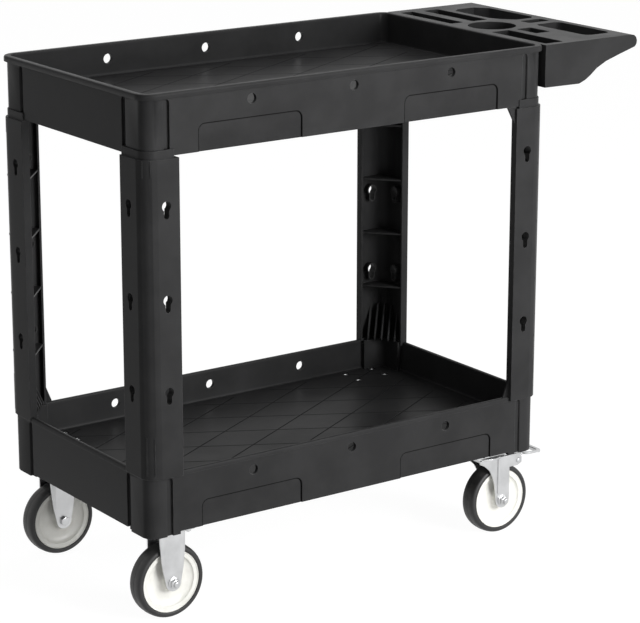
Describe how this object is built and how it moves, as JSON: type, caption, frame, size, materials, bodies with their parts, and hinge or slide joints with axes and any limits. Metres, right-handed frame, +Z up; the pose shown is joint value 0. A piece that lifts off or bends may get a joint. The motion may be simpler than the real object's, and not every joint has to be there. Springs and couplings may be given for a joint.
{
  "type": "service trolley",
  "caption": "Two-shelf moulded plastic service trolley with corner legs, a push-handle tray, two fixed and two braked swivel casters.",
  "frame": {"origin": "on the floor under the middle of the whole length and width", "axes": "+X from the fixed-caster end to the push handle, +Y to the far long side, +Z up"},
  "size_m": [1.0411, 0.469, 0.8994],
  "materials": {
    "black_plastic": "fine moulded texture, satin",
    "tyre_rubber": "matt rubber",
    "white_core": "smooth off-white plastic",
    "zinc": "bright zinc-plated pressed steel",
    "steel": "plated steel fasteners and pins"
  },
  "bodies": {
    "frame": {"upper_tray": "black_plastic", "lower_tray": "black_plastic", "leg_front_left": "black_plastic", "leg_front_right": "black_plastic", "leg_rear_left": "black_plastic", "leg_rear_right": "black_plastic", "handle_tray": "black_plastic", "handle_screw_1": "steel", "handle_screw_2": "steel", "handle_screw_3": "steel", "caster_bolt_front_left_1": "zinc", "caster_bolt_front_left_2": "zinc", "caster_bolt_front_left_3": "zinc", "caster_bolt_front_left_4": "zinc", "caster_bolt_front_right_1": "zinc", "caster_bolt_front_right_2": "zinc", "caster_bolt_front_right_3": "zinc", "caster_bolt_front_right_4": "zinc", "caster_bolt_rear_left_1": "zinc", "caster_bolt_rear_left_2": "zinc", "caster_bolt_rear_left_3": "zinc", "caster_bolt_rear_left_4": "zinc", "caster_bolt_rear_right_1": "zinc", "caster_bolt_rear_right_2": "zinc", "caster_bolt_rear_right_3": "zinc", "caster_bolt_rear_right_4": "zinc", "rigid_fork_front_left": "zinc", "rigid_fork_rear_left": "zinc", "rigid_axle_bolt_front_left": "zinc", "rigid_axle_bolt_rear_left": "zinc", "rigid_axle_nut_front_left": "zinc", "rigid_axle_nut_rear_left": "zinc", "swivel_plate_front_right": "zinc", "swivel_plate_rear_right": "zinc", "kingpin_front_right": "steel", "kingpin_rear_right": "steel", "bearing_ring_front_right": "steel", "bearing_ring_rear_right": "steel"},
    "wheel_front_left": {"rigid_tyre_front_left": "tyre_rubber", "rigid_wheel_core_front_left": "white_core"},
    "swivel_front_right": {"swivel_fork_front_right": "zinc", "swivel_axle_bolt_front_right": "zinc", "swivel_axle_nut_front_right": "zinc", "pedal_pin_front_right": "steel"},
    "wheel_front_right": {"swivel_tyre_front_right": "tyre_rubber", "swivel_wheel_core_front_right": "white_core"},
    "pedal_front_right": {"brake_pedal_front_right": "zinc"},
    "wheel_rear_left": {"rigid_tyre_rear_left": "tyre_rubber", "rigid_wheel_core_rear_left": "white_core"},
    "swivel_rear_right": {"swivel_fork_rear_right": "zinc", "swivel_axle_bolt_rear_right": "zinc", "swivel_axle_nut_rear_right": "zinc", "pedal_pin_rear_right": "steel"},
    "wheel_rear_right": {"swivel_tyre_rear_right": "tyre_rubber", "swivel_wheel_core_rear_right": "white_core"},
    "pedal_rear_right": {"brake_pedal_rear_right": "zinc"}
  },
  "joints": [
    {"name": "wheel_spin_front_left", "type": "hinge", "parent": "frame", "child": "wheel_front_left", "pos_m": [-0.45575, -0.1827, 0.065], "axis": [0, 1, 0], "continuous": true},
    {"name": "swivel_front_right", "type": "hinge", "parent": "frame", "child": "swivel_front_right", "pos_m": [0.22505, -0.1827, 0.149], "axis": [0, 0, 1], "continuous": true},
    {"name": "wheel_spin_front_right", "type": "hinge", "parent": "swivel_front_right", "child": "wheel_front_right", "pos_m": [0.25105, -0.1827, 0.065], "axis": [0, 1, 0], "continuous": true},
    {"name": "brake_front_right", "type": "hinge", "parent": "swivel_front_right", "child": "pedal_front_right", "pos_m": [0.28705, -0.1827, 0.1345], "axis": [0, 1, 0], "range_deg": [0, 24]},
    {"name": "wheel_spin_rear_left", "type": "hinge", "parent": "frame", "child": "wheel_rear_left", "pos_m": [-0.45575, 0.1827, 0.065], "axis": [0, 1, 0], "continuous": true},
    {"name": "swivel_rear_right", "type": "hinge", "parent": "frame", "child": "swivel_rear_right", "pos_m": [0.22505, 0.1827, 0.149], "axis": [0, 0, 1], "continuous": true},
    {"name": "wheel_spin_rear_right", "type": "hinge", "parent": "swivel_rear_right", "child": "wheel_rear_right", "pos_m": [0.25105, 0.1827, 0.065], "axis": [0, 1, 0], "continuous": true},
    {"name": "brake_rear_right", "type": "hinge", "parent": "swivel_rear_right", "child": "pedal_rear_right", "pos_m": [0.28705, 0.1827, 0.1345], "axis": [0, 1, 0], "range_deg": [0, 24]}
  ]
}
